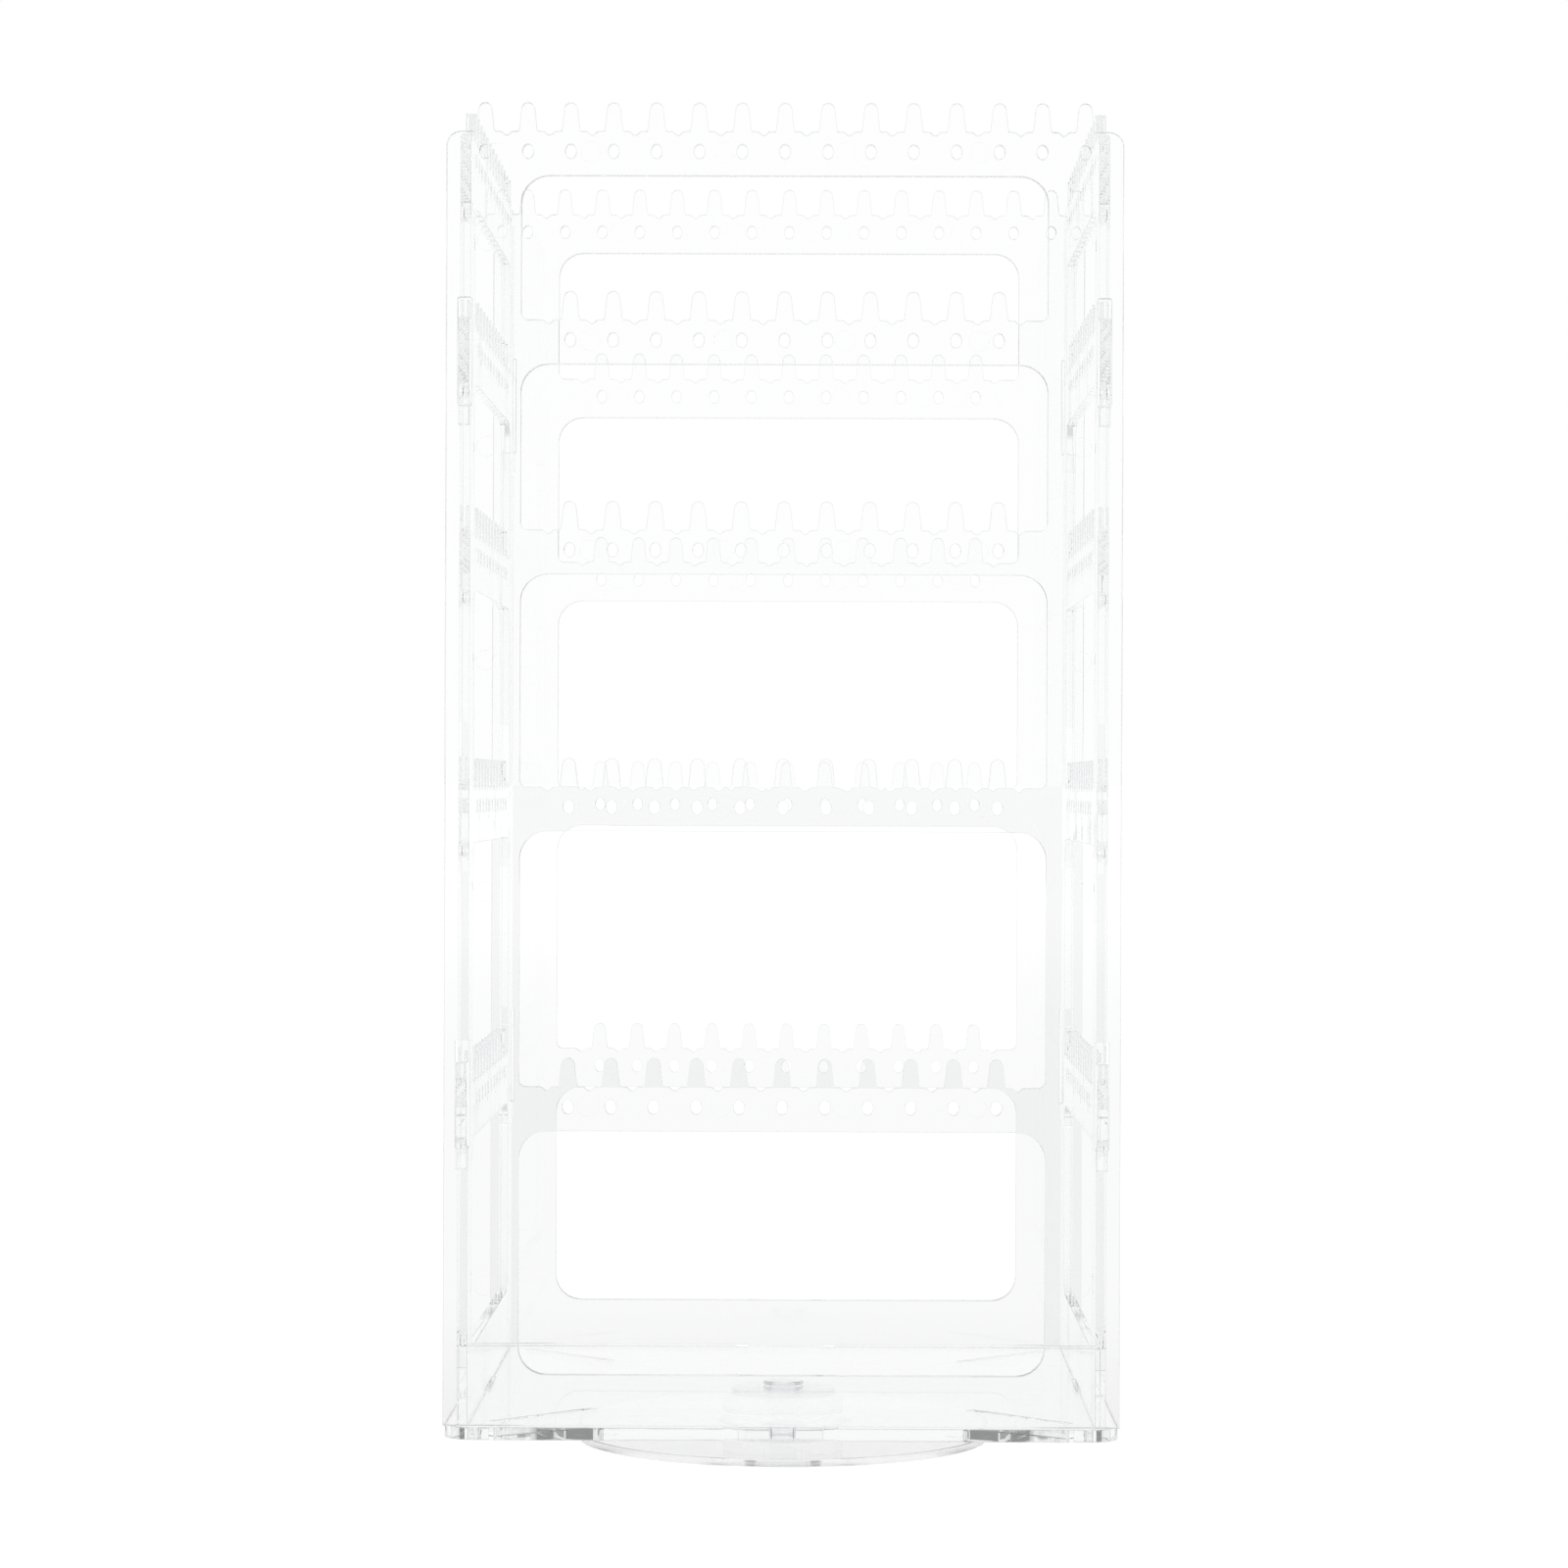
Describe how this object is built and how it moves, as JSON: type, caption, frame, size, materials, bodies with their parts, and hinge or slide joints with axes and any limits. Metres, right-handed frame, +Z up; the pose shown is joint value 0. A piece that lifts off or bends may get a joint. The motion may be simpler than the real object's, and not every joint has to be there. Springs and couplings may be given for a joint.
{
  "type": "revolving jewellery display tower",
  "caption": "Clear square tower of ladder panels with pegged comb rails for hanging small goods, turning on a round foot.",
  "frame": {"origin": "centre of the round foot's underside, on the surface it stands on and on the axis that the tower turns about", "axes": "+X to the right across the front panel, +Y from the front panel to the back panel, +Z up"},
  "size_m": [0.158, 0.164, 0.3224],
  "materials": {
    "clear_panel": "clear polished injection moulding",
    "clear_base": "clear polished injection moulding",
    "clear_foot": "clear polished injection moulding",
    "clear_pin": "clear polished injection moulding",
    "clear_washer": "clear polycarbonate sheet, satin",
    "clear_ring": "clear polycarbonate moulding"
  },
  "bodies": {
    "foot": {"turntable_foot": "clear_foot", "slip_washer": "clear_washer", "pivot_pin": "clear_pin", "retaining_ring": "clear_ring"},
    "tower": {"base_plate": "clear_base", "front_panel": "clear_panel", "back_panel": "clear_panel", "left_panel": "clear_panel", "right_panel": "clear_panel"}
  },
  "joints": [
    {"name": "tower_spin", "type": "hinge", "parent": "foot", "child": "tower", "pos_m": [0, 0, 0.0096], "axis": [0, 0, 1], "continuous": true}
  ]
}
